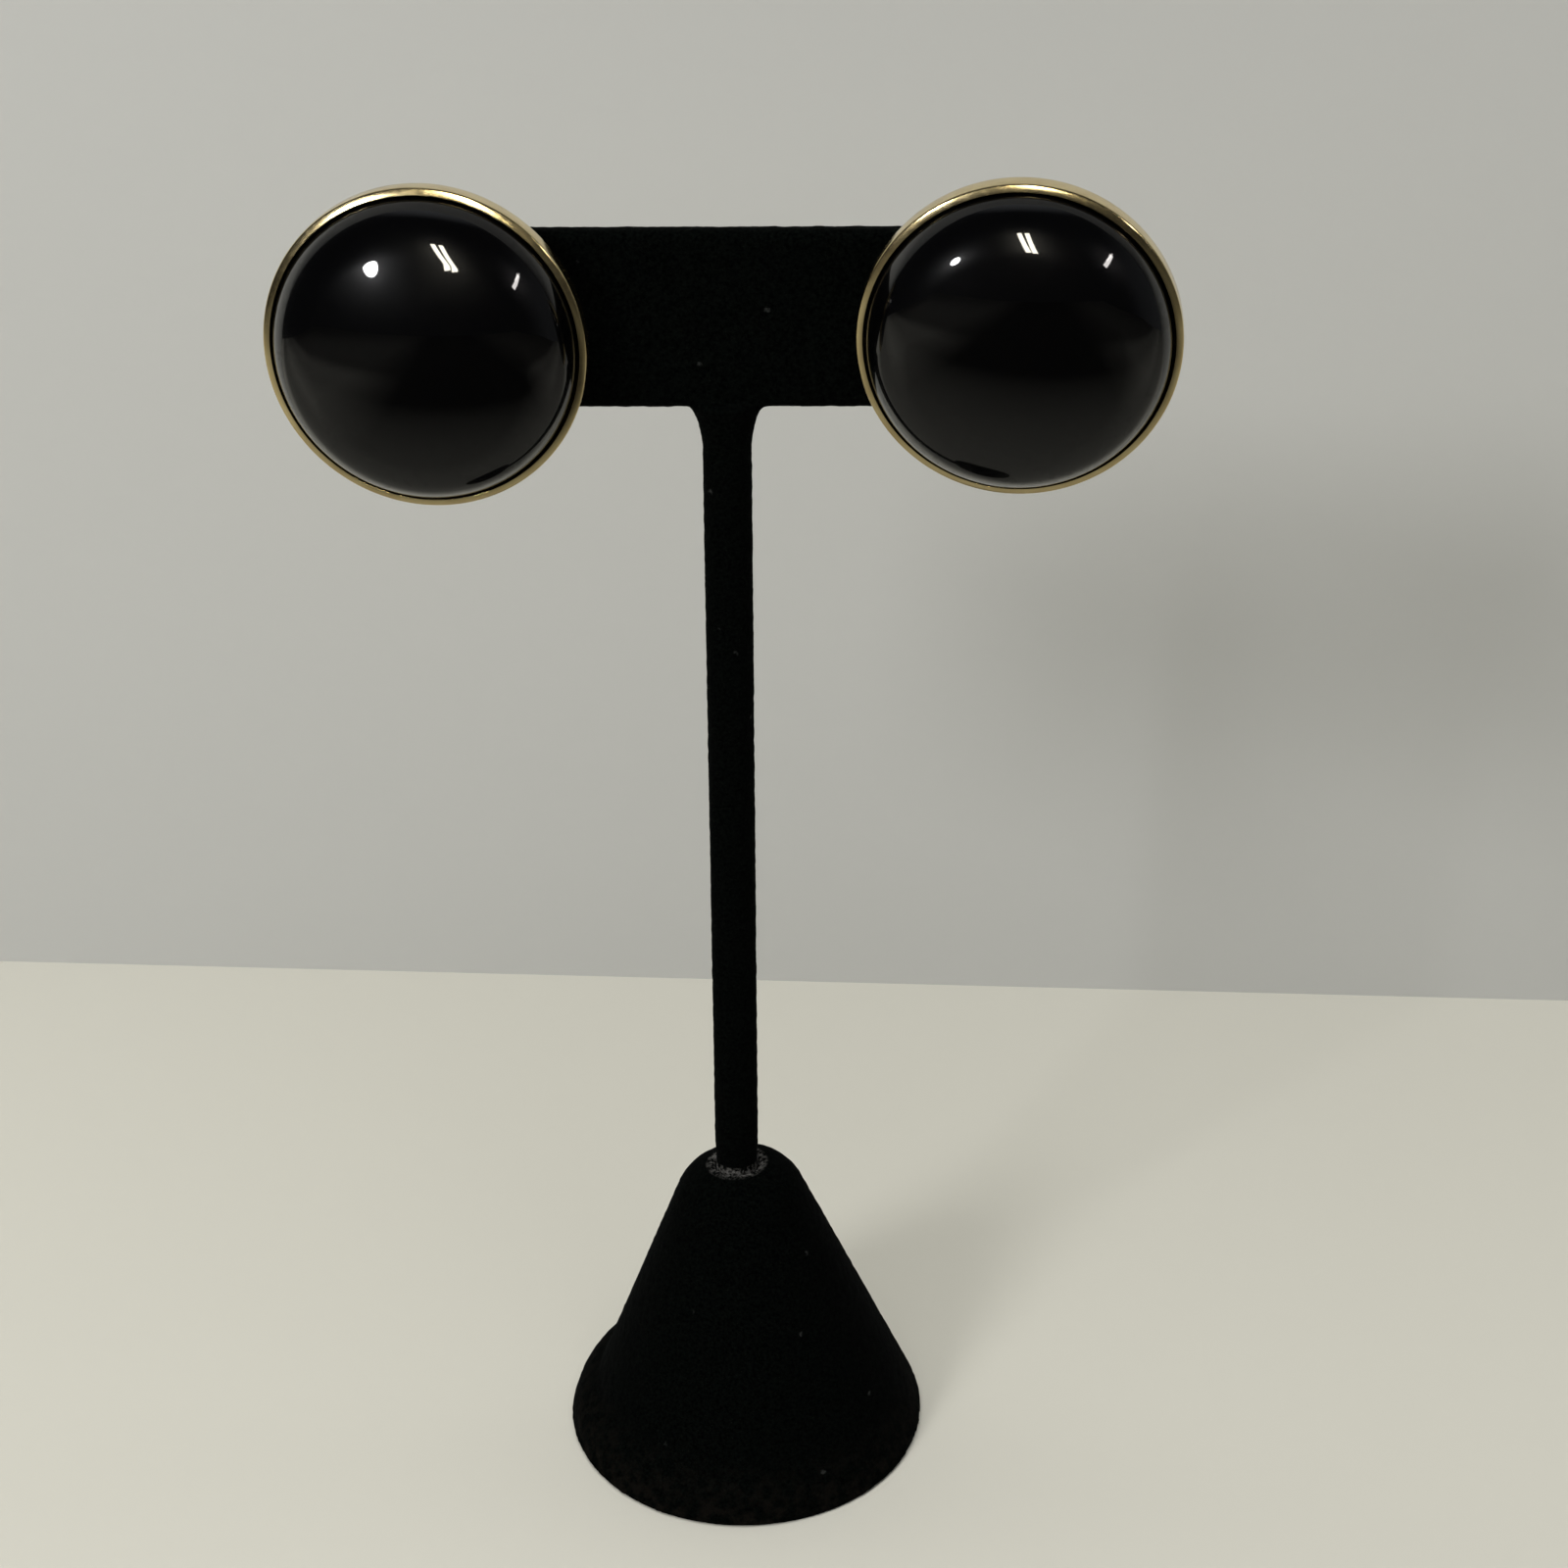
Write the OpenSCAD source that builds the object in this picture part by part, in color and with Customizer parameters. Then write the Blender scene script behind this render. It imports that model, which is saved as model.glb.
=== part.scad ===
// Pair of domed button earrings for pierced ears, worn by a small flocked T-bar stand.
// The origin is the centre of the foot's flat underside, +Z is up and the earrings face -Y.

/* [Stand] */
// Height of the whole stand, from the table to the top of the bar
stand_height = 120.6; // [110:0.1:135]
// Length of the bar
bar_length = 62; // [58:0.5:70]
// Height of the bar
bar_height = 14.7; // [12:0.1:18]
// Thickness of the bar, with its flock
bar_thickness = 3.2; // [2.6:0.1:4]
// Radius of the bar's corners, seen from the front
bar_corner_radius = 2.6; // [1.5:0.1:4]
// Radius of the soft edge round the bar's two faces
bar_edge_radius = 1.1; // [0.5:0.1:1.2]
// Distance between the two stud holes
hole_spacing = 48.4; // [46:0.1:50]
// Diameter of each stud hole
hole_diameter = 2.6; // [2.5:0.1:3]
// Diameter of the round post, with its flock
post_diameter = 4.04; // [3.6:0.02:4.6]
// Radius of the hollow curve by which the post widens below the bar
post_flare_radius = 7; // [5:0.5:10]
// Height over which the post widens
post_flare_height = 3.7; // [2:0.1:4]
// How far the post stands off the middle of the foot, to the left
post_offset = 0.57; // [0:0.01:1]

/* [Foot] */
// Diameter of the foot where it meets the table
foot_diameter = 35.6; // [32:0.1:40]
// Height of the foot
foot_height = 30.2; // [26:0.1:34]
// Height of the low rim at the bottom of the foot
foot_rim_height = 4.7; // [3:0.1:6]
// Radius of the rim's lowest edge
foot_edge_radius = 0.3; // [0.2:0.1:0.6]
// Diameter of the foot at its widest, on the side where the cone stands past the rim
foot_widest_diameter = 36.4; // [36:0.1:38]
// Radius of the cone's lowest edge, on that side
cone_edge_radius = 1; // [0.4:0.1:1.5]
// Diameter that the cone would have at the table, without the rim
cone_diameter = 35.3; // [32:0.1:38]
// Diameter that the cone would have at its top, without the rounding
cone_top_diameter = 10; // [8:0.1:12]
// Radius of the rounding round the cone's top
cone_top_rounding = 5.1; // [3:0.1:5.5]
// How far the cone stands off the middle of the foot, to the right
cone_offset = 0.65; // [0:0.01:1]
// Lean of the cone to the left, in degrees
cone_lean = 1.87; // [0:0.01:3]
// Depth of the socket that holds the post
socket_depth = 8; // [5:0.5:12]
// Diameter of the dimple in the flock round the post
dimple_diameter = 5.2; // [5:0.1:6.4]
// Depth of that dimple
dimple_depth = 0.6; // [0.3:0.1:1.5]

/* [Earrings] */
// Outer diameter of each gold-tone setting
setting_diameter = 26.3; // [25:0.1:28]
// Depth of the setting, from its back to the inner edge of its lip
setting_depth = 2.3; // [2.2:0.1:3]
// Thickness of the setting's wall, and width of the lip seen from the front
wall_thickness = 0.6; // [0.5:0.05:0.7]
// Slope by which the flat lip falls away from the dome, in degrees
lip_slope = 20; // [10:1:30]
// Radius of the rounding between the lip and the wall's outside
lip_edge_radius = 0.2; // [0.1:0.05:0.3]
// Thickness of the setting's back
back_thickness = 0.8; // [0.5:0.1:1.2]
// Gap all round between the black dome and the lip
dome_gap = 0.1; // [0.1:0.01:0.3]
// Radius of curvature of the middle of the black dome
dome_curvature = 27.9; // [25:0.1:32]
// Radius of curvature of the haunch, which leads from the middle to the shoulder
haunch_curvature = 7.7; // [7:0.1:9]
// Slope at which the haunch meets the shoulder, in degrees
haunch_slope = 33; // [30:1:38]
// Radius of the shoulder, between the haunch and the straight girdle
dome_shoulder = 4.5; // [4:0.1:5]
// Height of that girdle
girdle_height = 0.4; // [0.2:0.1:1]
// Diameter of the ear stud
stud_diameter = 0.9; // [0.8:0.05:1]
// Length of the ear stud behind the setting
stud_length = 11; // [10:0.1:12]
// How far the stud stands off the middle of the setting
stud_rise = 0.9; // [0.8:0.1:1]
// Diameter of the push-on nut
nut_diameter = 4.8; // [4:0.1:5.5]
// Length of the push-on nut
nut_length = 3.4; // [3:0.1:4]

/* [Hidden] */
$fn = 96;

// Clearance between pieces that are set, laid or pushed together
fit_gap = 0.1;
// Extra length of a cutter past the face that it cuts
cut = 1;

bar_bottom = stand_height - bar_height;
hole_height = stand_height - bar_height / 2;
tee_x = -post_offset;
post_radius = post_diameter / 2;
// The post's widened part ends a little above the bar's lower edge
post_top = bar_bottom + 0.4;
flare_z = bar_bottom - post_flare_height;
ledge_rounding = 0.3;
// The curve is made of short cones and starts just inside the post
flare_sink = 0.05;
flare_steps = 5;
socket_floor = foot_height - socket_depth;

foot_radius = foot_diameter / 2;
rim_rounding = foot_rim_height - foot_edge_radius;
cone_radius = cone_diameter / 2;
cone_top_radius = cone_top_diameter / 2;
// Slope of the cone's side above the table, and where its top rounding is tangent
cone_slope = atan2(foot_height, cone_radius - cone_top_radius);
cone_tangent = cone_top_rounding * tan(cone_slope / 2);
rounding_x = cone_top_radius - cone_tangent;
rounding_z = foot_height - cone_top_rounding;
// How far the leaning cone is carried on below the table, before it is cut level
cone_skirt = 2;

setting_radius = setting_diameter / 2;
back_edge_radius = 0.4;
// Where the rounding between the lip and the wall's outside has its middle
lip_edge_x = setting_radius - lip_edge_radius;
lip_edge_w =
    setting_depth - wall_thickness * tan(lip_slope) - lip_edge_radius * tan(45 - lip_slope / 2);
girdle_radius = setting_radius - wall_thickness - dome_gap;
dome_back_w = back_thickness + fit_gap;
girdle_w = dome_back_w + girdle_height;
// Middles of the shoulder's, the haunch's and the dome's own curves, which meet smoothly
shoulder_x = girdle_radius - dome_shoulder;
haunch_x = shoulder_x - (haunch_curvature - dome_shoulder) * sin(haunch_slope);
haunch_w = girdle_w - (haunch_curvature - dome_shoulder) * cos(haunch_slope);
haunch_end_x = haunch_x + haunch_curvature * sin(haunch_slope);
dome_slope = asin(haunch_x / (dome_curvature - haunch_curvature));
dome_centre_w = haunch_w - (dome_curvature - haunch_curvature) * cos(dome_slope);
dome_end_x = dome_curvature * sin(dome_slope);
solder_radius = 1.4;
solder_height = 0.35;
nut_bore_radius = stud_diameter / 2 + fit_gap;
nut_edge_radius = 0.8;

// How each earring hangs in its hole.
// The columns are: which side of the post, turn to the right, droop and spin about its own middle
// in degrees, and how far its middle lies in front of the bar, below the hole and to the hole's right.
LEFT = ["left", -1.2, 3.1, 0, 1.41, 1.55, -0.04];
RIGHT = ["right", -8.7, 9.3, 80, 2.83, 0.63, -0.21];
function side(row) = row[0] == "left" ? -1 : 1;
function turn(row) = row[1];
function droop(row) = row[2];
function spin(row) = row[3];
function stand_off(row) = row[4];
function hang(row) = row[5];
function shift(row) = row[6];
// Angle between the stud and the hole
function lean(row) = acos(cos(turn(row)) * cos(droop(row)));
// Length of the stud from the setting's back to the back of the bar
function reach(row) =
    (bar_thickness + stand_off(row) + stud_rise * sin(spin(row)) * sin(turn(row))
     + stud_rise * cos(spin(row)) * sin(droop(row)) * cos(turn(row))) / cos(lean(row));

// Moves a piece from an earring's own frame, with its back at z = 0 and its front along +Z, to its place
module place_earring(row) {
    hole_x = tee_x + side(row) * hole_spacing / 2;
    translate([hole_x + shift(row), -bar_thickness / 2 - stand_off(row), hole_height - hang(row)])
        rotate([90 + droop(row), 0, turn(row)])
            children();
}

// Moves a piece from the stud's own frame to the earring's
module place_stud(row) {
    rotate([0, 0, spin(row)])
        translate([0, stud_rise, 0])
            children();
}

// The right half of the cone's outline
module cone_outline() {
    run = cone_radius - cone_top_radius;
    side_x = cone_top_radius + cone_tangent * cos(cone_slope);
    side_z = foot_height - cone_tangent * sin(cone_slope);
    polygon([
        [0, -cone_skirt],
        [cone_radius + cone_skirt * run / foot_height, -cone_skirt],
        [side_x, side_z],
        [rounding_x, rounding_z],
        [rounding_x, foot_height],
        [0, foot_height],
    ]);
    translate([rounding_x, rounding_z])
        circle(r = cone_top_rounding);
}

module leaning_cone() {
    translate([cone_offset, 0, 0])
        rotate([0, -cone_lean, 0])
            rotate_extrude()
                intersection() {
                    cone_outline();
                    translate([0, -cone_skirt])
                        square([foot_radius + cut, foot_height + cone_skirt]);
                }
}

// A round block that gives the cone's base its widest size and its rounded lower edge
module cone_envelope() {
    widest = foot_widest_diameter / 2;
    rotate_extrude()
        union() {
            square([widest - cone_edge_radius, foot_height + cut]);
            translate([0, cone_edge_radius])
                square([widest, foot_height + cut - cone_edge_radius]);
            translate([widest - cone_edge_radius, cone_edge_radius])
                circle(r = cone_edge_radius);
        }
}

// The right half of the low rim's outline: a quarter round above a small lower edge
module rim_outline() {
    square([foot_radius - foot_edge_radius, foot_edge_radius]);
    translate([foot_radius - foot_edge_radius, foot_edge_radius])
        circle(r = foot_edge_radius);
    square([foot_radius - rim_rounding, foot_rim_height]);
    intersection() {
        translate([foot_radius - rim_rounding, foot_edge_radius])
            circle(r = rim_rounding);
        translate([foot_radius - rim_rounding, foot_edge_radius])
            square(rim_rounding);
    }
}

module post_socket() {
    translate([tee_x, 0, socket_floor])
        cylinder(r = post_radius + fit_gap, h = socket_depth + cut);
    translate([tee_x, 0, foot_height - dimple_depth])
        cylinder(r1 = post_radius + fit_gap, r2 = dimple_diameter / 2, h = dimple_depth);
    translate([tee_x, 0, foot_height])
        cylinder(r = dimple_diameter / 2, h = cut);
}

module stand_foot() {
    color([0.03, 0.03, 0.03])
        difference() {
            union() {
                intersection() {
                    leaning_cone();
                    cone_envelope();
                }
                rotate_extrude()
                    rim_outline();
            }
            post_socket();
        }
}

// A round puck with a soft edge on both faces, one for each corner of the bar
module bar_corner() {
    flat_radius = bar_corner_radius - bar_edge_radius;
    edge_z = bar_thickness / 2 - bar_edge_radius;
    rotate_extrude($fn = 36)
        union() {
            translate([0, -bar_thickness / 2])
                square([flat_radius, bar_thickness]);
            translate([0, -edge_z])
                square([bar_corner_radius, 2 * edge_z]);
            for (s = [-1, 1])
                translate([flat_radius, s * edge_z])
                    circle(r = bar_edge_radius, $fn = 24);
        }
}

// The bar, lying in the XY plane with its middle at the origin
module soft_bar() {
    half_x = bar_length / 2 - bar_corner_radius;
    half_y = bar_height / 2 - bar_corner_radius;
    flat_radius = bar_corner_radius - bar_edge_radius;
    edge_z = bar_thickness / 2 - bar_edge_radius;
    for (x = [-half_x, half_x], y = [-half_y, half_y])
        translate([x, y, 0])
            bar_corner();
    cube([2 * half_x, 2 * (half_y + flat_radius), bar_thickness], center = true);
    cube([2 * (half_x + flat_radius), 2 * half_y, bar_thickness], center = true);
    cube([2 * half_x, bar_height, 2 * edge_z], center = true);
    cube([bar_length, 2 * half_y, 2 * edge_z], center = true);
    for (s = [-1, 1], z = [-edge_z, edge_z]) {
        translate([0, s * (half_y + flat_radius), z])
            rotate([0, 90, 0])
                cylinder(r = bar_edge_radius, h = 2 * half_x, center = true, $fn = 24);
        translate([s * (half_x + flat_radius), 0, z])
            rotate([90, 0, 0])
                cylinder(r = bar_edge_radius, h = 2 * half_y, center = true, $fn = 24);
    }
}

// Radius of the post at a height above the start of its hollow curve
function flare_radius(h) = post_radius + post_flare_radius - sqrt(pow(post_flare_radius, 2) - pow(h, 2));

// The post's widened top, which stands a little proud of the bar as a soft ledge
module post_flare() {
    widest = flare_radius(post_flare_height);
    translate([tee_x, 0, flare_z])
        rotate_extrude()
            polygon([
                [0, -cut],
                [post_radius - flare_sink, -cut],
                for (i = [1:flare_steps])
                    [flare_radius(post_flare_height * i / flare_steps), post_flare_height * i / flare_steps],
                [widest, post_top - flare_z - ledge_rounding],
                [widest - ledge_rounding, post_top - flare_z],
                [0, post_top - flare_z],
            ]);
}

module stand_tee() {
    color([0.02, 0.02, 0.02])
        difference() {
            union() {
                translate([tee_x, 0, hole_height])
                    rotate([90, 0, 0])
                        soft_bar();
                translate([tee_x, 0, socket_floor + fit_gap])
                    cylinder(r = post_radius, h = post_top - socket_floor - fit_gap);
                post_flare();
            }
            for (s = [-1, 1])
                translate([tee_x + s * hole_spacing / 2, 0, hole_height])
                    rotate([90, 0, 0])
                        cylinder(d = hole_diameter, h = bar_thickness + 2 * cut, center = true);
        }
}

// The right half of the setting's outline, before its hollow is taken out
module setting_outline() {
    square([setting_radius - back_edge_radius, back_edge_radius]);
    translate([setting_radius - back_edge_radius, back_edge_radius])
        circle(r = back_edge_radius);
    translate([0, back_edge_radius])
        square([setting_radius, lip_edge_w - back_edge_radius]);
    polygon([
        [0, lip_edge_w],
        [lip_edge_x, lip_edge_w],
        [lip_edge_x + lip_edge_radius * sin(lip_slope), lip_edge_w + lip_edge_radius * cos(lip_slope)],
        [setting_radius - wall_thickness, setting_depth],
        [0, setting_depth],
    ]);
    translate([lip_edge_x, lip_edge_w])
        circle(r = lip_edge_radius);
}

// The gold-tone cup with its back, and the ear stud that is soldered to it
module setting(row) {
    color([0.72, 0.58, 0.33])
        place_earring(row) {
            rotate_extrude()
                difference() {
                    setting_outline();
                    translate([0, back_thickness])
                        square([setting_radius - wall_thickness, setting_depth]);
                }
            place_stud(row)
                translate([0, 0, -stud_length])
                    cylinder(d = stud_diameter, h = stud_length + back_thickness / 2);
            place_stud(row)
                translate([0, 0, -solder_height])
                    cylinder(r1 = stud_diameter / 2, r2 = solder_radius, h = solder_height);
        }
}

// One of the dome's curves, from the dome's middle out to end_x and above the dome's flat back
module dome_curve(centre_x, centre_w, radius, end_x) {
    intersection() {
        translate([centre_x, centre_w])
            circle(r = radius);
        translate([0, dome_back_w])
            square([end_x, setting_radius]);
    }
}

// The black dome: a low straight girdle, a round shoulder, a haunch and a gently curved middle
module cabochon(row) {
    color([0.01, 0.01, 0.012])
        place_earring(row)
            rotate_extrude() {
                dome_curve(0, dome_centre_w, dome_curvature, dome_end_x);
                dome_curve(haunch_x, haunch_w, haunch_curvature, haunch_end_x);
                dome_curve(shoulder_x, girdle_w, dome_shoulder, girdle_radius);
                translate([0, dome_back_w])
                    square([girdle_radius, girdle_height]);
            }
}

// The plain push-on nut behind the bar, round at its back
module ear_nut(row) {
    front_w = -reach(row) - nut_diameter / 2 * tan(lean(row)) - 2 * fit_gap;
    color([0.78, 0.65, 0.40])
        place_earring(row)
            place_stud(row)
                translate([0, 0, front_w - nut_length])
                    difference() {
                        rotate_extrude()
                            intersection() {
                                union() {
                                    translate([0, nut_edge_radius])
                                        square([nut_diameter / 2, nut_length - nut_edge_radius]);
                                    square([nut_diameter / 2 - nut_edge_radius, nut_length]);
                                    translate([nut_diameter / 2 - nut_edge_radius, nut_edge_radius])
                                        circle(r = nut_edge_radius);
                                }
                                square([nut_diameter, nut_length]);
                            }
                        translate([0, 0, -cut])
                            cylinder(r = nut_bore_radius, h = nut_length + 2 * cut);
                    }
}

module left_setting() { setting(LEFT); }
module left_cabochon() { cabochon(LEFT); }
module left_ear_nut() { ear_nut(LEFT); }
module right_setting() { setting(RIGHT); }
module right_cabochon() { cabochon(RIGHT); }
module right_ear_nut() { ear_nut(RIGHT); }

stand_foot();
stand_tee();
left_setting();
left_cabochon();
left_ear_nut();
right_setting();
right_cabochon();
right_ear_nut();
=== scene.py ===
"""Looks for a pair of domed button earrings on a flocked T-bar stand.

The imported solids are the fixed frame. The earrings are built again here as finely spun shells,
the stand gets a soft flocked skin, and everything is seen on a plain pale stage.
"""
import logging
import math
from dataclasses import dataclass, field
from enum import Enum

import bmesh
import bpy
from mathutils import Matrix, Vector, noise


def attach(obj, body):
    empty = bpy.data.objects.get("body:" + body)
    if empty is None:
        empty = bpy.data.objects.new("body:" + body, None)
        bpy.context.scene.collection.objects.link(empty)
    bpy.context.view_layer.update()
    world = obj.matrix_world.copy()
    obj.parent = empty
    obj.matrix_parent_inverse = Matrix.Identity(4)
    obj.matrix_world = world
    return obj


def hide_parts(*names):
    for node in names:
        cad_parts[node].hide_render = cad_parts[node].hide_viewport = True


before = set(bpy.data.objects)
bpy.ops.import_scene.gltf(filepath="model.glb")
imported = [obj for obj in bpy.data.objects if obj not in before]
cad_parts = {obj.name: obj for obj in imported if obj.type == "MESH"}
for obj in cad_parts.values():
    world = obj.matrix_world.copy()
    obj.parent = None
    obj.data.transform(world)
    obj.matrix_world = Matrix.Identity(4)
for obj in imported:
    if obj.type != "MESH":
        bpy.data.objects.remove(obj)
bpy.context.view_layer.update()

MM = 0.001
log = logging.getLogger("earring_stand")

Socket = bpy.types.NodeSocket
Band = tuple[float, float]
Colour = tuple[float, float, float]


class Side(Enum):
    """Which earring of the pair, as seen from the front."""

    LEFT = "left"
    RIGHT = "right"


class Slot(Enum):
    """The record's material slots."""

    FLOCK = "flock"
    GOLD_TONE = "gold_tone"
    BLACK_DOME = "black_dome"


class LampShape(Enum):
    """Outline of a lamp's shining face, by Blender's name."""

    RECTANGLE = "RECTANGLE"
    ELLIPSE = "ELLIPSE"


# Meshes


def add_object(name: str, data: bpy.types.ID) -> bpy.types.Object:
    """Adds an object to the scene.

    Args:
        name: Name of the object.
        data: Its mesh, light or camera.

    Returns:
        The new object, at the origin.
    """
    thing = bpy.data.objects.new(name, data)
    bpy.context.scene.collection.objects.link(thing)
    return thing


def finish_mesh(bm: bmesh.types.BMesh, name: str, place: Matrix | None = None) -> bpy.types.Object:
    """Turns a bmesh in millimetres into a smooth object in metres, with its place in its mesh.

    Args:
        bm: The mesh to finish; it is freed here.
        name: Name of the new piece.
        place: Where the piece goes, in millimetres.

    Returns:
        The new object, at the origin.
    """
    bmesh.ops.remove_doubles(bm, verts=bm.verts, dist=1e-4)
    bmesh.ops.recalc_face_normals(bm, faces=bm.faces)
    bmesh.ops.transform(bm, matrix=Matrix.Scale(MM, 4) @ (place or Matrix.Identity(4)), verts=bm.verts)
    for face in bm.faces:
        face.smooth = True
    mesh = bpy.data.meshes.new(name)
    bm.to_mesh(mesh)
    bm.free()
    return add_object(name, mesh)


def spin_outline(points: list[tuple[float, float]], steps: int) -> bmesh.types.BMesh:
    """Spins an outline about the Z axis.

    Args:
        points: Corners of the outline as radius and height, in millimetres.
        steps: Number of steps in the full turn.

    Returns:
        The closed shell as a bmesh.
    """
    bm = bmesh.new()
    corners = [bm.verts.new((radius, 0.0, height)) for radius, height in points]
    edges = [bm.edges.new(pair) for pair in zip(corners, corners[1:])]
    bmesh.ops.spin(
        bm, geom=corners + edges, cent=(0, 0, 0), axis=(0, 0, 1), angle=math.tau, steps=steps, use_merge=True
    )
    bmesh.ops.remove_doubles(bm, verts=bm.verts, dist=1e-4)
    bmesh.ops.recalc_face_normals(bm, faces=bm.faces)
    return bm


def round_ring(bm: bmesh.types.BMesh, radius: float, height: float, offset: float, segments: int) -> None:
    """Rounds the circular edge at one radius and height of a spun shell.

    Args:
        bm: The shell.
        radius: Radius of the edge.
        height: Height of the edge.
        offset: Width of the rounding on each side of the edge.
        segments: Number of facets across the rounding.
    """
    def on_ring(vert: bmesh.types.BMVert) -> bool:
        """Says whether a vertex lies on the edge."""
        return abs(vert.co.xy.length - radius) < 0.01 and abs(vert.co.z - height) < 0.01

    ring = [edge for edge in bm.edges if all(on_ring(vert) for vert in edge.verts)]
    bmesh.ops.bevel(
        bm, geom=ring, offset=offset, offset_type="OFFSET", affect="EDGES", segments=segments, profile=0.5,
        material=-1, clamp_overlap=False,
    )


# Node trees


@dataclass(frozen=True)
class Grain:
    """How fine a noise is: its lumps per metre, its finer layers and their strength."""

    scale: float
    detail: float = 2.0
    rough: float = 0.5


class Nodes:
    """A node tree, with short calls for adding and joining nodes."""

    def __init__(self, tree: bpy.types.NodeTree) -> None:
        """Keeps the tree that the calls work on."""
        self.tree = tree

    def add(self, kind: str, **settings: object) -> bpy.types.Node:
        """Adds a node and sets the properties that are named.

        Args:
            kind: Blender's name for the kind of node.
            **settings: Properties of the node.

        Returns:
            The new node.
        """
        node = self.tree.nodes.new(kind)
        for key, value in settings.items():
            setattr(node, key, value)
        return node

    def link(self, source: Socket, target: Socket) -> None:
        """Joins one socket to another."""
        self.tree.links.new(source, target)

    def feed(self, node: bpy.types.Node, **inputs: object) -> bpy.types.Node:
        """Sets or joins inputs of a node.

        Args:
            node: The node whose inputs are set.
            **inputs: Inputs by name, with underscores for spaces, or by number after an underscore.
                A socket is joined, and any other value is set.

        Returns:
            The same node.
        """
        for key, value in inputs.items():
            target = node.inputs[int(key[1:])] if key[1:].isdigit() else node.inputs[key.replace("_", " ")]
            if isinstance(value, bpy.types.NodeSocket):
                self.link(value, target)
            else:
                target.default_value = value
        return node

    def spread(self, value: Socket, band: Band, result: Band, smooth: bool = False) -> Socket:
        """Maps a value's range onto another one, and holds it at both ends.

        Args:
            value: The socket to map.
            band: Lowest and highest value read.
            result: Results at the lowest and the highest value.
            smooth: Whether the result eases in and out.

        Returns:
            The mapped value's socket.
        """
        node = self.add("ShaderNodeMapRange", interpolation_type="SMOOTHSTEP" if smooth else "LINEAR")
        self.feed(node, Value=value, From_Min=band[0], From_Max=band[1], To_Min=result[0], To_Max=result[1])
        return node.outputs["Result"]

    def chain(self, operation: str, first: Socket, *others: Socket) -> Socket:
        """Joins values one after another with the same sum.

        Args:
            operation: Blender's name for the sum.
            first: The value to start from.
            *others: The values that join it, in order.

        Returns:
            The result's socket.
        """
        total = first
        for other in others:
            total = self.feed(self.add("ShaderNodeMath", operation=operation), _0=total, _1=other).outputs[0]
        return total

    def split(self, vector: Socket) -> bpy.types.bpy_prop_collection:
        """Splits a vector into its X, Y and Z sockets."""
        return self.feed(self.add("ShaderNodeSeparateXYZ"), _0=vector).outputs

    def mix_colour(self, share: Socket, start: object, end: object) -> Socket:
        """Mixes two colours.

        Args:
            share: How much of the second colour is taken.
            start: The first colour, as a socket or four values.
            end: The second colour, as a socket or four values.

        Returns:
            The mixed colour's socket.
        """
        node = self.add("ShaderNodeMix", data_type="RGBA")
        return self.feed(node, _0=share, _6=start, _7=end).outputs[2]


class MaterialNodes(Nodes):
    """The node tree of a new material with a Principled shader."""

    def __init__(self, name: str) -> None:
        """Starts the material, its shader and its Object coordinates."""
        self.material = bpy.data.materials.new(name)
        self.material.use_nodes = True
        super().__init__(self.material.node_tree)
        self.tree.nodes.clear()
        self.output = self.add("ShaderNodeOutputMaterial")
        self.shader = self.add("ShaderNodeBsdfPrincipled")
        self.link(self.shader.outputs["BSDF"], self.output.inputs["Surface"])
        self.coords = self.add("ShaderNodeTexCoord").outputs["Object"]

    def noise(self, grain: Grain, output: str = "Fac") -> Socket:
        """Adds a noise on Object coordinates.

        Args:
            grain: How fine it is.
            output: Name of the output that is taken.

        Returns:
            The noise's socket.
        """
        node = self.add("ShaderNodeTexNoise")
        self.feed(node, Vector=self.coords, Scale=grain.scale, Detail=grain.detail, Roughness=grain.rough)
        return node.outputs[output]

    def ramp(self, value: Socket, band: Band, start: Colour, end: Colour) -> Socket:
        """Adds a colour ramp of two colours.

        Args:
            value: The socket that drives it.
            band: Places of the two colours.
            start: Colour at the lower place.
            end: Colour at the upper place.

        Returns:
            The ramp's colour socket.
        """
        node = self.add("ShaderNodeValToRGB")
        for element, position, colour in zip(node.color_ramp.elements, band, (start, end)):
            element.position = position
            element.color = (*colour, 1.0)
        self.link(value, node.inputs["Fac"])
        return node.outputs["Color"]

    def bump(self, height: Socket, strength: float, distance: float) -> None:
        """Adds a bump to the shader's normal.

        Args:
            height: The socket with the relief.
            strength: Share of the relief that shows.
            distance: Depth of the relief in metres.
        """
        node = self.feed(self.add("ShaderNodeBump"), Height=height, Strength=strength, Distance=distance)
        self.link(node.outputs["Normal"], self.shader.inputs["Normal"])


# Finishes


def metres(band: Band) -> Band:
    """Turns two heights or widths in millimetres into metres."""
    return band[0] * MM, band[1] * MM


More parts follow.
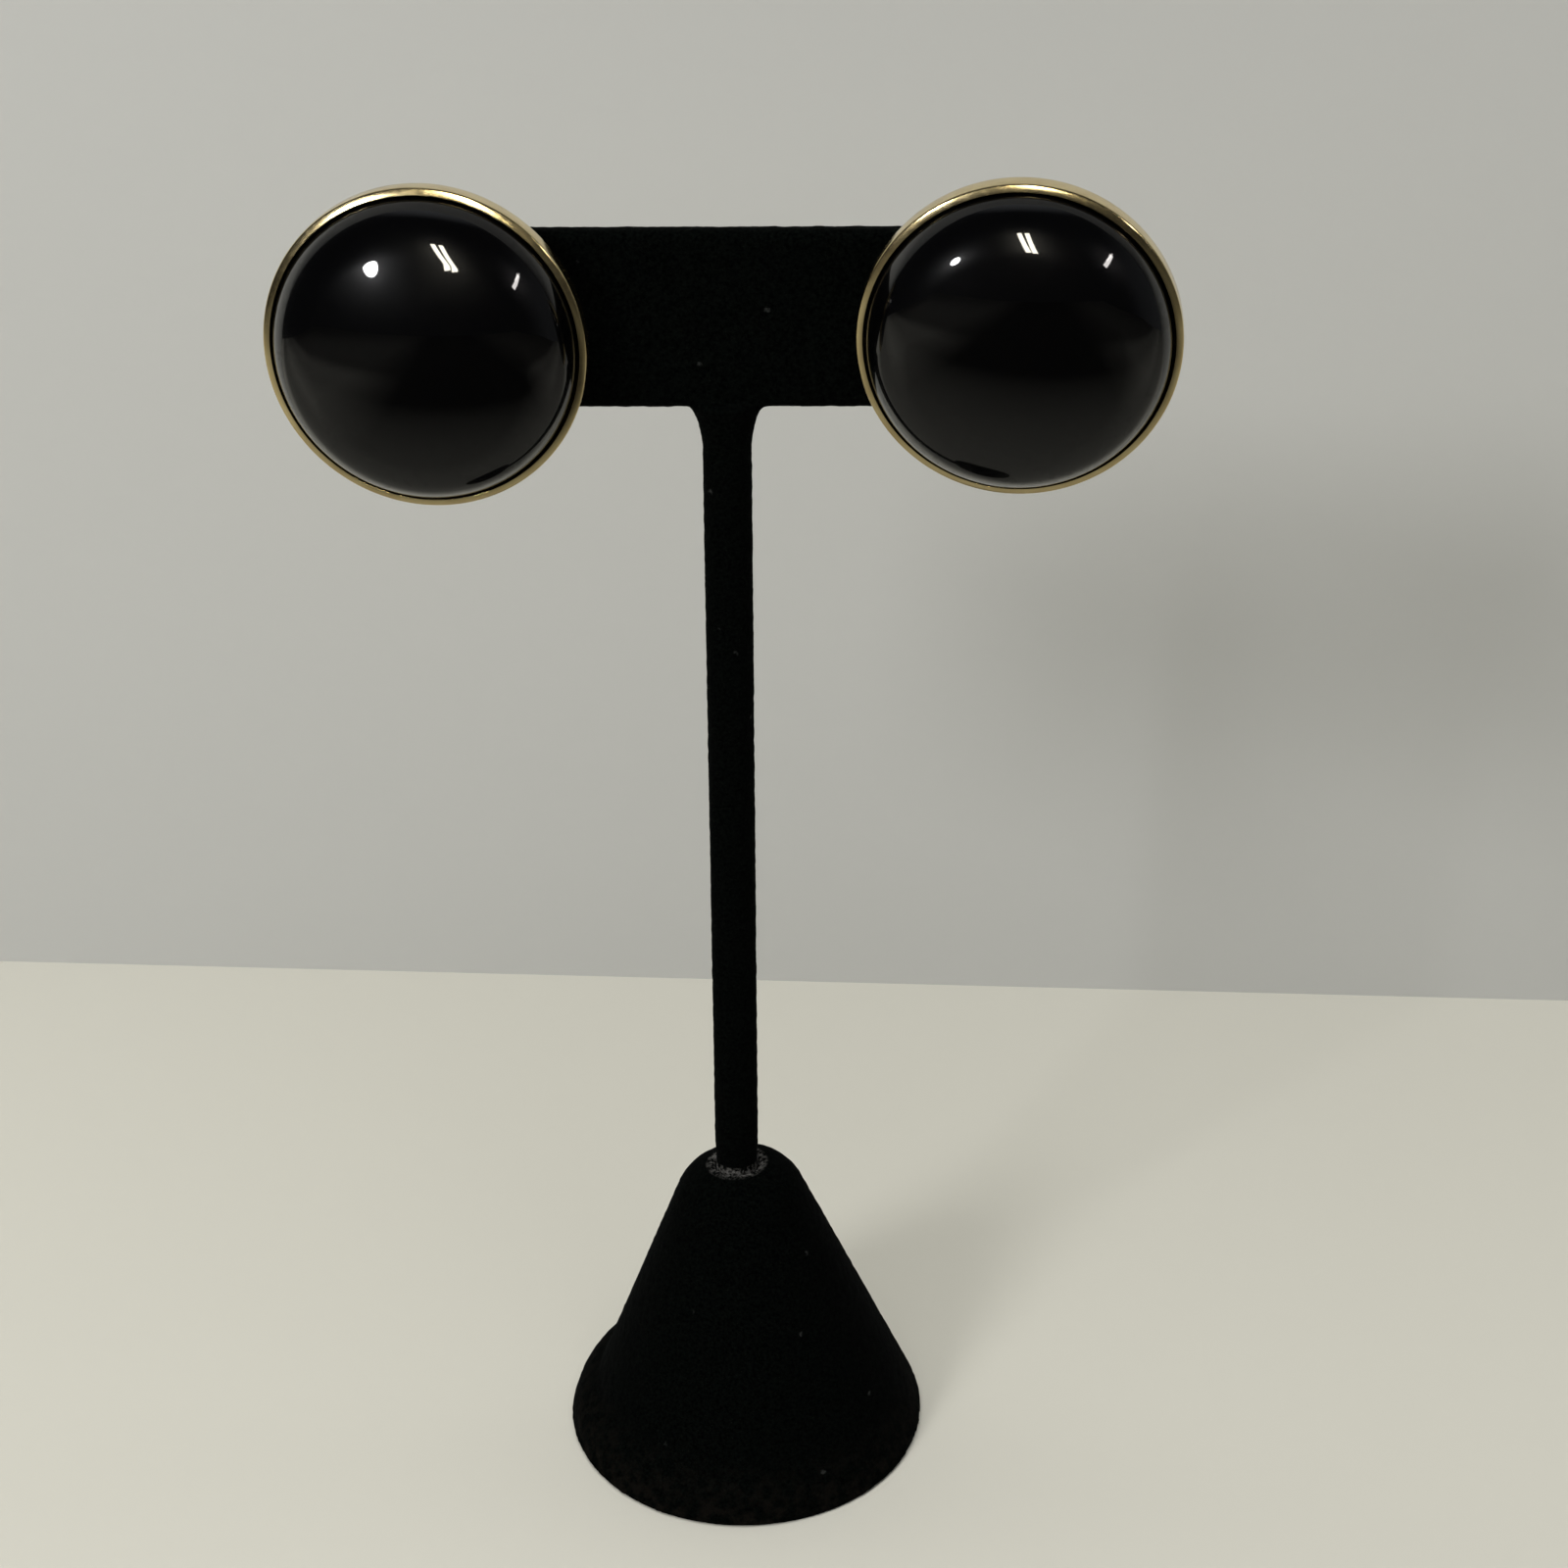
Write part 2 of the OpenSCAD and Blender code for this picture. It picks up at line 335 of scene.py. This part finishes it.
@dataclass(frozen=True)
class FlockFinish:
    """Black flock: short dense fibres, with lighter, warmer patches at the hem, a little lint and a worn
    ring.
    """

    name: str = "black_flock"
    deep: Colour = (0.0001, 0.0002, 0.0002)
    lit: Colour = (0.0022, 0.0030, 0.0025)
    fibres: Grain = Grain(5200.0, 3.0, 0.7)
    fibre_depth: float = 0.12
    fibre_strength: float = 0.6
    clumps: Grain = Grain(3400.0, 3.0, 0.75)
    clump_band: Band = (0.36, 0.66)
    # Lighter, warmer tint in patches on the lowest few millimetres of the foot, fading upwards.
    hem_tint: Colour = (0.0075, 0.0062, 0.0050)
    hem_patches: Grain = Grain(900.0, 3.0, 0.6)
    hem_patch_band: Band = (0.42, 0.62)
    hem_band: Band = (0.0, 6.0)
    hem_strength: float = 0.7
    lint: Colour = (0.022, 0.023, 0.022)
    lint_per_metre: float = 250.0
    lint_band: Band = (0.03, 0.075)
    lint_bends: Grain = Grain(2600.0, 1.0)
    lint_bend: float = 0.5
    worn: Colour = (0.16, 0.155, 0.145)
    worn_spots: Grain = Grain(2300.0, 3.0, 0.7)
    worn_band: Band = (0.44, 0.64)
    post_x: float = -0.57
    ring_band: Band = (2.35, 3.15)
    ring_bottom: Band = (28.6, 29.2)
    ring_top: Band = (30.2, 30.6)

    def material(self) -> bpy.types.Material:
        """Builds the flock, with its lighter, warmer hem, its lint and its worn ring round the foot of the
        post.

        Returns:
            The finished material.
        """
        nodes = MaterialNodes(self.name)
        colour = nodes.ramp(nodes.noise(self.clumps), self.clump_band, self.deep, self.lit)
        for share, other in (
            (self.hem_share(nodes), self.hem_tint),
            (self.lint_share(nodes), self.lint),
            (self.worn_share(nodes), self.worn),
        ):
            colour = nodes.mix_colour(share, colour, (*other, 1.0))
        nodes.feed(
            nodes.shader, Base_Color=colour, Roughness=1.0, Specular_IOR_Level=0.02, Sheen_Weight=0.009,
            Sheen_Roughness=0.35, Sheen_Tint=(0.50, 0.55, 0.60, 1.0),
        )
        nodes.bump(nodes.noise(self.fibres), self.fibre_strength, self.fibre_depth * MM)
        return nodes.material

    def hem_share(self, nodes: MaterialNodes) -> Socket:
        """Marks the lowest few millimetres of the foot, lighter and warmer in patches and fading upwards.

        Args:
            nodes: The material's nodes.

        Returns:
            A socket from 0, plain flock, to 1, the hem's tint.
        """
        height = nodes.split(nodes.coords)["Z"]
        low = nodes.spread(height, metres(self.hem_band), (self.hem_strength, 0.0))
        return nodes.chain("MULTIPLY", low, nodes.spread(nodes.noise(self.hem_patches), self.hem_patch_band, (0.0, 1.0)))

    def lint_share(self, nodes: MaterialNodes) -> Socket:
        """Marks a few specks of lint, strewn at random and a little bent.

        Args:
            nodes: The material's nodes.

        Returns:
            A socket from 0, bare, to 1, lint.
        """
        bend = (self.lint_bend * MM,) * 3
        bent = nodes.add("ShaderNodeVectorMath", operation="MULTIPLY_ADD")
        nodes.feed(bent, _0=nodes.noise(self.lint_bends, "Color"), _1=bend, _2=nodes.coords)
        cells = nodes.add("ShaderNodeTexVoronoi")
        nodes.feed(cells, Vector=bent.outputs[0], Scale=self.lint_per_metre, Randomness=1.0)
        return nodes.spread(cells.outputs["Distance"], self.lint_band, (1.0, 0.0))

    def worn_share(self, nodes: MaterialNodes) -> Socket:
        """Marks the ring of rubbed flock and dried glue round the post.

        Args:
            nodes: The material's nodes.

        Returns:
            A socket from 0, whole, to 1, worn.
        """
        parts = nodes.split(nodes.coords)
        flat = nodes.feed(nodes.add("ShaderNodeCombineXYZ"), X=parts["X"], Y=parts["Y"])
        away = nodes.add("ShaderNodeVectorMath", operation="DISTANCE")
        nodes.feed(away, _0=flat.outputs[0], _1=(self.post_x * MM, 0.0, 0.0))
        return nodes.chain(
            "MULTIPLY",
            nodes.spread(away.outputs["Value"], metres(self.ring_band), (1.0, 0.0)),
            nodes.spread(parts["Z"], metres(self.ring_bottom), (0.0, 1.0)),
            nodes.spread(parts["Z"], metres(self.ring_top), (1.0, 0.0)),
            nodes.spread(nodes.noise(self.worn_spots), self.worn_band, (0.0, 1.0)),
        )


@dataclass(frozen=True)
class GoldToneFinish:
    """Polished pale gold-tone plating with faint handling marks."""

    name: str = "gold_tone_plating"
    bright: Colour = (0.84, 0.69, 0.37)
    dull: Colour = (0.73, 0.575, 0.295)
    patches: Grain = Grain(420.0)
    patch_band: Band = (0.3, 0.6)
    marks: Grain = Grain(2600.0, 3.0, 0.7)
    mark_band: Band = (0.3, 0.75)
    roughness: Band = (0.15, 0.24)
    waves: Grain = Grain(700.0)
    wave_depth: float = 0.06
    wave_strength: float = 0.08

    def material(self) -> bpy.types.Material:
        """Builds the plating.

        Returns:
            The finished material.
        """
        nodes = MaterialNodes(self.name)
        colour = nodes.ramp(nodes.noise(self.patches), self.patch_band, self.dull, self.bright)
        roughness = nodes.spread(nodes.noise(self.marks), self.mark_band, self.roughness)
        nodes.feed(nodes.shader, Base_Color=colour, Metallic=1.0, Roughness=roughness)
        nodes.bump(nodes.noise(self.waves), self.wave_strength, self.wave_depth * MM)
        return nodes.material


@dataclass(frozen=True)
class GlossDomeFinish:
    """Deep black gloss of a polished dome, with a very faint film of handling."""

    name: str = "black_gloss_dome"
    black: Colour = (0.0006, 0.0006, 0.0008)
    film: Grain = Grain(240.0, 4.0, 0.65)
    film_band: Band = (0.35, 0.75)
    roughness: Band = (0.24, 0.32)

    def material(self) -> bpy.types.Material:
        """Builds the gloss.

        Returns:
            The finished material.
        """
        nodes = MaterialNodes(self.name)
        roughness = nodes.spread(nodes.noise(self.film), self.film_band, self.roughness)
        nodes.feed(
            nodes.shader, Base_Color=(*self.black, 1.0), Roughness=roughness, IOR=1.5,
            Specular_IOR_Level=0.06, Coat_Weight=1.0, Coat_Roughness=0.03, Coat_IOR=1.5,
        )
        return nodes.material


@dataclass(frozen=True)
class StageFinish:
    """Plain matt pale surface for the floor and the wall, which is clear from its back.

    Gloss sees painted shade and light on it: darker in front of the stand and high up, so that the domes stay
    deep black, and paler to the sides.
    Places are in metres, and shares are of the full brightness.
    """

    name: str
    colour: Colour
    front_band: Band = (-0.18, -0.05)
    front_share: Band = (0.02, 0.42)
    behind_band: Band = (0.03, 0.07)
    behind_share: float = 0.58
    upper_band: Band = (0.19, 0.26)
    upper_share: float = -0.45
    side_band: Band = (0.10, 0.20)
    side_start: Band = (-0.30, -0.24)
    side_share: Band = (0.09, 0.32)
    side_end: Band = (-0.09, -0.04)

    def material(self) -> bpy.types.Material:
        """Builds the plain surface.

        Returns:
            The finished material.
        """
        nodes = MaterialNodes(self.name)
        nodes.feed(nodes.shader, Roughness=1.0, Specular_IOR_Level=0.0)
        share = nodes.add("ShaderNodeMix", data_type="FLOAT")
        glossy = nodes.add("ShaderNodeLightPath").outputs["Is Glossy Ray"]
        nodes.feed(share, _0=glossy, _2=1.0, _3=self.gloss_share(nodes))
        tint = nodes.mix_colour(share.outputs[0], (0.0, 0.0, 0.0, 1.0), (*self.colour, 1.0))
        nodes.link(tint, nodes.shader.inputs["Base Color"])
        back = nodes.add("ShaderNodeNewGeometry").outputs["Backfacing"]
        clear = nodes.add("ShaderNodeBsdfTransparent").outputs["BSDF"]
        sides = nodes.add("ShaderNodeMixShader")
        nodes.feed(sides, _0=back, _1=nodes.shader.outputs["BSDF"], _2=clear)
        nodes.link(sides.outputs["Shader"], nodes.output.inputs["Surface"])
        return nodes.material

    def gloss_share(self, nodes: MaterialNodes) -> Socket:
        """Works out the painted shade and light that gloss sees on the surface, from place to place.

        Args:
            nodes: The material's nodes.

        Returns:
            A socket from 0, black, to 1, full brightness.
        """
        parts = nodes.split(nodes.coords)
        width = nodes.feed(nodes.add("ShaderNodeMath", operation="ABSOLUTE"), _0=parts["X"]).outputs[0]
        beside = nodes.chain(
            "MULTIPLY",
            nodes.spread(width, self.side_band, (0.0, 1.0)),
            nodes.spread(parts["Y"], self.side_start, self.side_share),
            nodes.spread(parts["Y"], self.side_end, (1.0, 0.0)),
        )
        # Painted shade and light, seen only in reflections.
        return nodes.chain(
            "ADD",
            nodes.spread(parts["Y"], self.front_band, self.front_share),
            nodes.spread(parts["Y"], self.behind_band, (0.0, self.behind_share)),
            nodes.spread(parts["Z"], self.upper_band, (0.0, self.upper_share)),
            beside,
        )


# The stand


@dataclass
class Stand:
    """The flocked stand: its cone foot, and the post with its bar. Sizes are in millimetres."""

    finish: FlockFinish = field(default_factory=FlockFinish)
    voxel: float = 0.27
    fuzz: float = 0.05
    fuzz_per_mm: float = 1.1
    flat_base: float = 0.2
    hem: float = 0.2
    hem_height: float = 0.45
    hem_radius: float = 15.0
    post_pile: float = 0.09
    pile_start: float = 31.5
    pile_end: float = 105.0

    def build(self) -> list[bpy.types.Object]:
        """Dresses both solids of the stand with a soft skin.

        Returns:
            The new pieces.
        """
        flock = self.finish.material()
        return [
            self.skin("stand_foot", "foot_flock", flock, 0.0),
            self.skin("stand_tee", "tee_flock", flock, self.post_pile),
        ]

    def skin(self, node: str, name: str, flock: bpy.types.Material, pile: float) -> bpy.types.Object:
        """Covers one solid with flock that stands a little uneven.

        Args:
            node: The solid that is covered.
            name: Name of the new piece.
            flock: The flock's material.
            pile: How much fuller the flock stands along the post.

        Returns:
            The new piece, which stands for the solid.
        """
        bm = bmesh.new()
        bm.from_mesh(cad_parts[node].data)
        bmesh.ops.remove_doubles(bm, verts=bm.verts, dist=1e-6)
        bmesh.ops.transform(bm, matrix=Matrix.Scale(1 / MM, 4), verts=bm.verts)
        shell = finish_mesh(bm, name)
        remesh = shell.modifiers.new("even", "REMESH")
        remesh.mode = "VOXEL"
        remesh.voxel_size = self.voxel * MM
        remesh.use_smooth_shade = True
        self.settle(shell)
        self.ruffle(shell.data, pile)
        shell.data.materials.append(flock)
        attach(shell, "root")
        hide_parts(node)
        return shell

    @staticmethod
    def settle(piece: bpy.types.Object) -> None:
        """Replaces a piece's mesh with what its modifiers make of it.

        Args:
            piece: The piece, which loses its modifiers.
        """
        graph = bpy.context.evaluated_depsgraph_get()
        mesh = bpy.data.meshes.new_from_object(piece.evaluated_get(graph))
        piece.modifiers.clear()
        piece.data = mesh

    def ruffle(self, mesh: bpy.types.Mesh, pile: float) -> None:
        """Softens the skin, makes it uneven and lets its hem and pile stand out.

        Args:
            mesh: The skin, which is changed.
            pile: How much fuller the flock stands along the post.
        """
        bm = bmesh.new()
        bm.from_mesh(mesh)
        bmesh.ops.smooth_vert(
            bm, verts=bm.verts, factor=0.5, use_axis_x=True, use_axis_y=True, use_axis_z=True
        )
        bm.normal_update()
        base = min(vert.co.z for vert in bm.verts)
        for vert in bm.verts:
            lift = noise.fractal(vert.co / MM * self.fuzz_per_mm, 1.0, 2.0, 3)
            if vert.co.z > base + self.flat_base * MM:
                vert.co += vert.normal * lift * self.fuzz * MM
            inside = min(vert.co.z / MM - self.pile_start, self.pile_end - vert.co.z / MM)
            vert.co += vert.normal * pile * min(max(inside, 0.0), 1.0) * MM
            if vert.co.z < self.hem_height * MM and vert.co.xy.length > self.hem_radius * MM:
                vert.co.xy += vert.co.xy.normalized() * self.hem * MM
        for face in bm.faces:
            face.smooth = True
        bm.to_mesh(mesh)
        bm.free()


# The earrings


@dataclass
class Earring:
    """One button earring: a gold-tone cup with its stud, a black dome and a nut. Sizes are in millimetres."""

    side: Side
    place_at: tuple[float, float, float]
    turn: float
    droop: float
    spin: float
    radius: float = 13.15
    depth: float = 2.3
    wall: float = 0.6
    lip_slope: float = 20.0
    lip_edge: float = 0.2
    lip_inner_edge: float = 0.05
    back: float = 0.8
    back_edge: float = 0.4
    gap: float = 0.1
    dome_curve: float = 27.9
    haunch: float = 7.7
    haunch_slope: float = 33.0
    shoulder: float = 4.5
    dome_base: float = 0.9
    girdle: float = 0.4
    stud_radius: float = 0.45
    stud_length: float = 11.0
    stud_rise: float = 0.9
    stud_tip_edge: float = 0.25
    notch_share: float = 0.8
    notch: tuple[float, float, float, float] = (1.4, 1.6, 2.0, 2.2)
    pad_radius: float = 1.4
    solder_radius: float = 0.8
    solder_heights: Band = (0.14, 0.35)
    bar_back: float = 1.6
    nut_gap: float = 0.2
    nut_bore_gap: float = 0.1
    nut_radius: float = 2.4
    nut_length: float = 3.4
    nut_edges: Band = (0.8, 0.15)
    nut_sink: float = 0.2
    groove_share: float = 0.92
    groove: tuple[float, float, float, float] = (2.0, 2.2, 2.6, 2.8)
    steps: int = 288

    def pose(self) -> Matrix:
        """Works out where the earring hangs.

        Returns:
            A place with the earring's back at the origin and its front along +Z.
        """
        turn = Matrix.Rotation(math.radians(self.turn), 4, "Z")
        tilt = Matrix.Rotation(math.radians(90 + self.droop), 4, "X")
        return Matrix.Translation(self.place_at) @ turn @ tilt

    def stud_pose(self) -> Matrix:
        """Gives the place of the stud, with the middle of its solder pad at the origin."""
        spin = Matrix.Rotation(math.radians(self.spin), 4, "Z")
        return self.pose() @ spin @ Matrix.Translation((0, self.stud_rise, 0))

    def nut_front(self) -> float:
        """Works out how far along the stud the nut lies, clear of the back of the bar.

        Returns:
            Height of the nut's front face in the stud's own frame.
        """
        start, inward = self.stud_pose().translation, -self.stud_pose().to_3x3().col[2]
        reach = (self.bar_back - start.y) / inward.y
        lean = inward.angle(Vector((0, 1, 0)))
        return -reach - self.nut_radius * math.tan(lean) - self.nut_gap

    def build(self, gold: bpy.types.Material, gloss: bpy.types.Material) -> list[bpy.types.Object]:
        """Builds and dresses the whole earring.

        Args:
            gold: The plating's material.
            gloss: The dome's material.

        Returns:
            The new pieces.
        """
        dressed = (
            (self.cup(), gold, Slot.GOLD_TONE, "setting"),
            (self.stud(), gold, Slot.GOLD_TONE, "setting"),
            (self.dome(), gloss, Slot.BLACK_DOME, "cabochon"),
            (self.nut(), gold, Slot.GOLD_TONE, "ear_nut"),
        )
        for piece, material, slot, node in dressed:
            piece.data.materials.append(material)
            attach(piece, "root")
            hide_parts(f"{self.side.value}_{node}")
        return [row[0] for row in dressed]

    def cup(self) -> bpy.types.Object:
        """Spins the cup, whose flat lip falls away from the dome.

        Returns:
            The cup.
        """
        inner = self.radius - self.wall
        edge = self.depth - self.wall * math.tan(math.radians(self.lip_slope))
        bm = spin_outline(
            [
                (0, 0), (self.radius, 0), (self.radius, edge),
                (inner, self.depth), (inner, self.back), (0, self.back),
            ],
            self.steps,
        )
        round_ring(bm, self.radius, edge, self.lip_edge * math.tan(math.radians(45 - self.lip_slope / 2)), 8)
        round_ring(bm, inner, self.depth, self.lip_inner_edge, 3)
        round_ring(bm, self.radius, 0, self.back_edge, 5)
        return finish_mesh(bm, f"{self.side.value}_cup", self.pose())

    def stud(self) -> bpy.types.Object:
        """Builds the ear stud with its solder pad, the notch near its end and its rounded tip.

        Returns:
            The stud.
        """
        radius, tip = self.stud_radius, -self.stud_length
        solder_wide, solder_narrow = self.solder_heights
        near, near_deep, far_deep, far = self.notch
        deep = radius * self.notch_share
        bm = spin_outline(
            [
                (0, self.back / 2), (self.pad_radius, self.back / 2), (self.pad_radius, 0),
                (self.solder_radius, -solder_wide), (radius, -solder_narrow),
                (radius, tip + far), (deep, tip + far_deep), (deep, tip + near_deep),
                (radius, tip + near), (radius, tip), (0, tip),
            ],
            48,
        )
        round_ring(bm, radius, tip, self.stud_tip_edge, 4)
        return finish_mesh(bm, f"{self.side.value}_stud", self.stud_pose())

    def dome(self) -> bpy.types.Object:
        """Builds the dome: a low straight girdle, a round shoulder, a haunch and a gently curved middle.

        Returns:
            The dome.
        """
        rim = self.radius - self.wall - self.gap
        top, slope = self.dome_base + self.girdle, math.radians(self.haunch_slope)
        shoulder_x = rim - self.shoulder
        haunch_x = shoulder_x - (self.haunch - self.shoulder) * math.sin(slope)
        haunch_w = top - (self.haunch - self.shoulder) * math.cos(slope)
        middle_slope = math.asin(haunch_x / (self.dome_curve - self.haunch))
        middle_w = haunch_w - (self.dome_curve - self.haunch) * math.cos(middle_slope)
        outline = [(0.0, self.dome_base), (rim, self.dome_base)]
        for x, w, curve, start, end, steps in (
            (shoulder_x, top, self.shoulder, math.pi / 2, slope, 36),
            (haunch_x, haunch_w, self.haunch, slope, middle_slope, 20),
            (0.0, middle_w, self.dome_curve, middle_slope, 0.0, 36),
        ):
            turns = [start + (end - start) * i / steps for i in range(steps)]
            outline += [(x + curve * math.sin(turn), w + curve * math.cos(turn)) for turn in turns]
        outline.append((0.0, middle_w + self.dome_curve))
        return finish_mesh(spin_outline(outline, self.steps), f"{self.side.value}_dome", self.pose())

    def nut(self) -> bpy.types.Object:
        """Builds the push-on nut, with a rounded front, a shallow groove and a small countersink.

        Returns:
            The nut.
        """
        bore = self.stud_radius + self.nut_bore_gap
        radius, length = self.nut_radius, self.nut_length
        near, near_deep, far_deep, far = self.groove
        deep, sink = radius * self.groove_share, self.nut_sink
        bm = spin_outline(
            [
                (bore, 0), (radius, 0), (radius, near), (deep, near_deep), (deep, far_deep), (radius, far),
                (radius, length), (bore + sink, length), (bore, length - sink), (bore, 0),
            ],
            96,
        )
        for height, edge, segments in zip((0, length), self.nut_edges, (6, 3)):
            round_ring(bm, radius, height, edge, segments)
        seat = Matrix.Translation((0, 0, self.nut_front() - length))
        return finish_mesh(bm, f"{self.side.value}_nut", self.stud_pose() @ seat)


# Stage, lights and camera


@dataclass
class Stage:
    """Plain pale floor and wall. Sizes are in metres."""

    wall_left: tuple[float, float] = (-0.14, 0.098)
    wall_right: tuple[float, float] = (0.14, 0.082)
    half_width: float = 0.9
    front: float = -0.9
    height: float = 0.75
    floor_colour: Colour = (0.625, 0.61, 0.535)
    wall_colour: Colour = (0.585, 0.585, 0.56)

    def build(self) -> None:
        """Builds the floor and the wall, which runs through the two points at its foot."""
        slope = (self.wall_right[1] - self.wall_left[1]) / (self.wall_right[0] - self.wall_left[0])
        middle = (self.wall_left[1] + self.wall_right[1]) / 2
        left, right = ((x, middle + slope * x) for x in (-self.half_width, self.half_width))
        self.sheet(
            "floor", [(left[0], self.front, 0), (right[0], self.front, 0), (*right, 0), (*left, 0)],
            StageFinish("pale_floor", self.floor_colour),
        )
        self.sheet(
            "wall", [(*left, 0), (*right, 0), (*right, self.height), (*left, self.height)],
            StageFinish("pale_wall", self.wall_colour),
        )

    @staticmethod
    def sheet(name: str, corners: list[tuple[float, float, float]], finish: StageFinish) -> None:
        """Builds one flat sheet of the stage.

        Args:
            name: Name of the sheet.
            corners: Its corners in metres, in order.
            finish: Its plain finish.
        """
        bm = bmesh.new()
        bm.faces.new([bm.verts.new(corner) for corner in corners])
        mesh = bpy.data.meshes.new(name)
        bm.to_mesh(mesh)
        bm.free()
        mesh.materials.append(finish.material())
        add_object(name, mesh)


@dataclass(frozen=True)
class Lamp:
    """One soft lamp, placed by the direction in which the earrings see it."""

    name: str
    azimuth: float
    elevation: float
    distance: float
    size: tuple[float, float]
    power: float
    roll: float = 0.0
    shape: LampShape = LampShape.RECTANGLE
    colour: Colour = (1.0, 1.0, 1.0)
    glossy: bool = True
    diffuse: bool = True

    def build(self, target: Vector) -> None:
        """Hangs the lamp and aims it.

        Args:
            target: The point that it faces, in metres.
        """
        azimuth, elevation = math.radians(self.azimuth), math.radians(self.elevation)
        level = math.cos(elevation)
        away = Vector((math.sin(azimuth) * level, -math.cos(azimuth) * level, math.sin(elevation)))
        data = bpy.data.lights.new(self.name, "AREA")
        data.shape = self.shape.value
        data.size, data.size_y = self.size
        data.energy = self.power
        data.color = self.colour
        lamp = add_object(self.name, data)
        lamp.matrix_world = (
            Matrix.Translation(target + away * self.distance)
            @ away.to_track_quat("Z", "Y").to_matrix().to_4x4()
            @ Matrix.Rotation(math.radians(self.roll), 4, "Z")
        )
        lamp.visible_glossy, lamp.visible_diffuse, lamp.visible_camera = self.glossy, self.diffuse, False


@dataclass(frozen=True)
class Room:
    """The light of the room: dim all round, a little paler at the right and pale overhead."""

    colour: Colour = (0.93, 0.96, 1.0)
    overhead: Colour = (0.0, 0.34, 0.94)
    overhead_band: Band = (0.85, 1.0)
    overhead_light: Band = (0.02, 0.40)
    side_band: Band = (0.6, 0.95)
    side_light: Band = (0.0, 0.08)

    def build(self) -> None:
        """Fills the world with the room's light."""
        world = bpy.data.worlds.new("dim_room")
        world.use_nodes = True
        nodes = Nodes(world.node_tree)
        ways = nodes.add("ShaderNodeTexCoord").outputs["Generated"]
        along = nodes.add("ShaderNodeVectorMath", operation="DOT_PRODUCT")
        nodes.feed(along, _0=ways, _1=self.overhead)
        strength = nodes.chain(
            "ADD",
            nodes.spread(along.outputs["Value"], self.overhead_band, self.overhead_light, smooth=True),
            nodes.spread(nodes.split(ways)["X"], self.side_band, self.side_light, smooth=True),
        )
        nodes.feed(nodes.tree.nodes["Background"], Color=(*self.colour, 1.0), Strength=strength)
        bpy.context.scene.world = world


@dataclass
class Studio:
    """The lamps, the room round them and the camera."""

    target: Vector = field(default_factory=lambda: Vector((0.0, -0.008, 0.112)))
    eye: tuple[float, float, float] = (4.186, -179.24, 150.884)
    pitch: float = 24.07
    roll: float = -0.165
    focal_pixels: float = 2200.0
    frame_pixels: float = 1600.0
    warm: Colour = (1.0, 0.95, 0.80)
    pale: Colour = (1.0, 0.95, 0.92)

    def lamps(self) -> list[Lamp]:
        """Lists the lamps: five that the gloss mirrors, then two that light the stage.

        Returns:
            The lamps.
        """
        seen = {"diffuse": False}
        return [
            Lamp("round_lamp", -34.0, 15.9, 0.186, (0.0165, 0.0215), 0.08, 20, LampShape.ELLIPSE, **seen),
            Lamp("left_tube", -4.6, 27.0, 0.297, (0.0115, 0.116), 0.13, 9.5, colour=self.warm, **seen),
            Lamp("right_tube", -1.0, 26.8, 0.297, (0.0115, 0.118), 0.13, 5, colour=self.warm, **seen),
            Lamp("small_lamp", 46.2, 24.9, 0.347, (0.013, 0.14), 0.10, -55, colour=self.pale, **seen),
            Lamp("side_strip", 51.5, 28.5, 0.347, (0.005, 0.11), 0.016, -62, colour=self.pale, **seen),
            Lamp("key", -41, 26.5, 0.75, (0.20, 0.20), 2.6, glossy=False),
            Lamp("wide_fill", 0, 75, 1.1, (1.1, 1.1), 11.7, glossy=False),
        ]

    def build(self) -> None:
        """Lights the stage and sets up the camera."""
        for lamp in self.lamps():
            lamp.build(self.target)
        Room().build()
        self.camera()
        bpy.context.scene.view_settings.view_transform = "Standard"

    def camera(self) -> None:
        """Places the camera at the photograph's point of view."""
        data = bpy.data.cameras.new("camera")
        data.sensor_width = 36.0
        data.lens = self.focal_pixels / self.frame_pixels * data.sensor_width
        data.clip_start = 0.01
        camera = add_object("camera", data)
        camera.matrix_world = (
            Matrix.Translation(Vector(self.eye) * MM)
            @ Matrix.Rotation(math.radians(90 - self.pitch), 4, "X")
            @ Matrix.Rotation(math.radians(self.roll), 4, "Z")
        )
        bpy.context.scene.camera = camera


def main() -> None:
    """Builds the stand, both earrings, the stage and the studio, in that order."""
    logging.basicConfig(level=logging.INFO, format="%(name)s: %(message)s")
    gold, gloss = GoldToneFinish().material(), GlossDomeFinish().material()
    left = Earring(Side.LEFT, (-24.81, -3.01, 111.7), turn=-1.2, droop=3.1, spin=0.0)
    right = Earring(Side.RIGHT, (23.42, -4.43, 112.62), turn=-8.7, droop=9.3, spin=80.0)
    assemblies = {
        "stand": Stand().build(),
        "left earring": left.build(gold, gloss),
        "right earring": right.build(gold, gloss),
    }
    for name, pieces in assemblies.items():
        for piece in pieces:
            log.info("%s: %s, %d faces", name, piece.name, len(piece.data.polygons))
    Stage().build()
    Studio().build()


if __name__ == "__main__":
    main()
